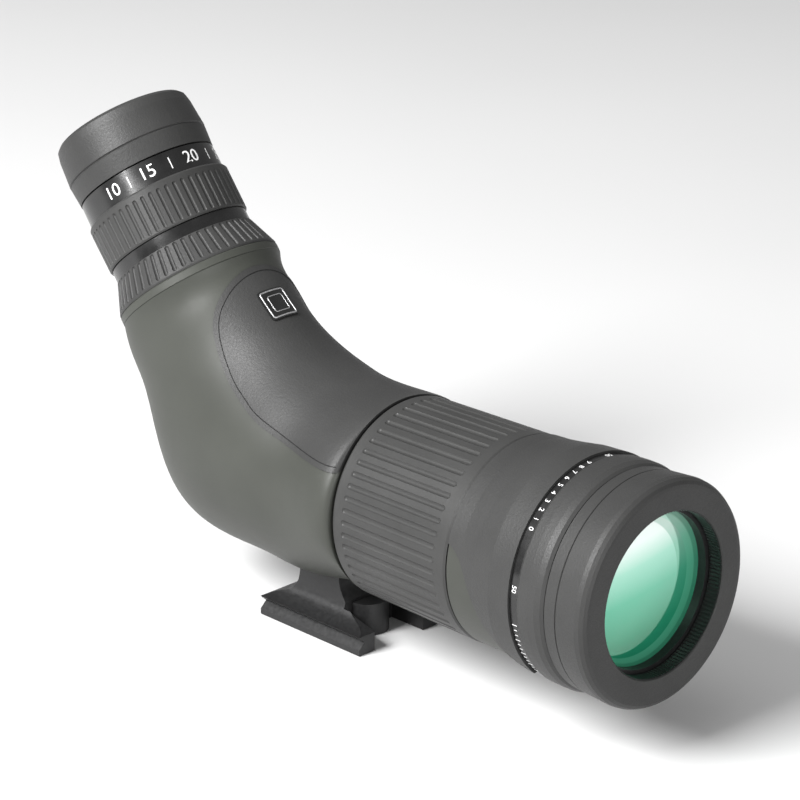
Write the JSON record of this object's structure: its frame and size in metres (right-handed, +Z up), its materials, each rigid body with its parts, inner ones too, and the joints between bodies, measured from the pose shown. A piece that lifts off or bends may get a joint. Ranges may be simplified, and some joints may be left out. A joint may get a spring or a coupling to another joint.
{
  "type": "spotting scope",
  "caption": "Compact angled zoom spotting scope with ribbed focus ring, twist-up eyecup, sliding sunshade and a dovetail tripod foot.",
  "frame": {"origin": "tripod thread axis on the underside of the foot", "axes": "+X towards the scene through the objective, +Y to the left of a viewer looking through, +Z up"},
  "size_m": [0.2641, 0.0738, 0.1617],
  "materials": {
    "olive_paint": "fine satin olive-green paint",
    "armour_rubber": "dark grey rubber armour, lightly textured",
    "grip_rubber": "dark grey ribbed rubber",
    "black_gloss": "gloss black with white scale marks",
    "badge_satin": "dark satin plate, blank",
    "black_anodised": "black anodised",
    "foot_metal": "dark satin coating",
    "lens_glass": "green anti-reflection coating",
    "prism_glass": "polished, ground sides",
    "brass": "turned brass",
    "steel": "zinc-plated screws and pins",
    "spring_steel": "thin spring strip"
  },
  "bodies": {
    "scope_body": {"prism_housing": "olive_paint", "saddle_armour": "armour_rubber", "badge_plate": "badge_satin", "barrel_shell": "olive_paint", "barrel_armour": "armour_rubber", "objective_barrel": "black_anodised", "scale_band": "black_gloss", "front_bumper": "armour_rubber", "objective_cell": "black_anodised", "objective_front_lens": "lens_glass", "objective_rear_lens": "lens_glass", "lens_spacer": "black_anodised", "lens_retaining_ring": "black_anodised", "lens_seat_ring": "black_anodised", "objective_baffle": "black_anodised", "focus_tube": "black_anodised", "roof_prism": "prism_glass", "penta_prism": "prism_glass", "prism_cage": "black_anodised", "prism_clip": "spring_steel", "cage_screws": "steel", "neck_ring": "olive_paint", "eyepiece_tube": "black_anodised", "eyepiece_collar": "armour_rubber", "index_ring": "black_gloss", "eye_lens_cell": "black_anodised", "eye_lens": "lens_glass", "field_lens": "lens_glass", "eye_lens_spacer": "black_anodised", "tripod_foot": "foot_metal", "thread_insert": "brass", "foot_screws": "steel"},
    "sunshade": {"sunshade_tube": "black_anodised", "sunshade_rubber": "armour_rubber"},
    "focus_ring": {"focus_ring_core": "black_anodised", "focus_ring_grip": "grip_rubber"},
    "focus_carriage": {"focus_carriage": "black_anodised", "focus_lens": "lens_glass", "focus_lens_ring": "black_anodised", "focus_drive_pins": "steel"},
    "zoom_ring": {"zoom_cam_tube": "black_anodised", "zoom_ring_core": "black_anodised", "zoom_grip": "grip_rubber", "zoom_scale_band": "black_gloss"},
    "zoom_front_group": {"zoom_front_carriage": "black_anodised", "zoom_front_lens": "lens_glass", "zoom_front_pins": "steel"},
    "zoom_rear_group": {"zoom_rear_carriage": "black_anodised", "zoom_rear_lens": "lens_glass", "zoom_rear_pins": "steel"},
    "eyecup_lift": {"eyecup_lift_ring": "brass"},
    "eyecup": {"eyecup_sleeve": "black_anodised", "eyecup_rubber": "armour_rubber"}
  },
  "joints": [
    {"name": "focus_turn", "type": "hinge", "parent": "scope_body", "child": "focus_ring", "pos_m": [0.05, 0, 0.052], "axis": [1, 0, 0], "range_deg": [-150, 150]},
    {"name": "focus_slide", "type": "slide", "parent": "scope_body", "child": "focus_carriage", "axis": [1, 0, 0], "range_m": [-0.00602, 0.00602]},
    {"name": "sunshade_slide", "type": "slide", "parent": "scope_body", "child": "sunshade", "axis": [1, 0, 0], "range_m": [0, 0.012]},
    {"name": "zoom_turn", "type": "hinge", "parent": "scope_body", "child": "zoom_ring", "pos_m": [-0.0325, 0, 0.052], "axis": [-0.6293, 0, 0.7771], "range_deg": [0, 100]},
    {"name": "zoom_front_slide", "type": "slide", "parent": "scope_body", "child": "zoom_front_group", "axis": [-0.6293, 0, 0.7771], "range_m": [-0.0001, 0.00602]},
    {"name": "zoom_rear_slide", "type": "slide", "parent": "scope_body", "child": "zoom_rear_group", "axis": [-0.6293, 0, 0.7771], "range_m": [-0.00402, 0.0001]},
    {"name": "eyecup_rise", "type": "slide", "parent": "scope_body", "child": "eyecup_lift", "axis": [-0.6293, 0, 0.7771], "range_m": [-0.0001, 0.00802]},
    {"name": "eyecup_twist", "type": "hinge", "parent": "eyecup_lift", "child": "eyecup", "pos_m": [-0.10172, 0, 0.13749], "axis": [-0.6293, 0, 0.7771], "range_deg": [0, 180]}
  ],
  "couplings": [
    {"joint": "focus_slide", "follows": "focus_turn", "m_per_rad": 0.0022918},
    {"joint": "zoom_front_slide", "follows": "zoom_turn", "m_per_rad": 0.0034377},
    {"joint": "zoom_rear_slide", "follows": "zoom_turn", "m_per_rad": -0.0022918},
    {"joint": "eyecup_rise", "follows": "eyecup_twist", "m_per_rad": 0.0025465}
  ]
}
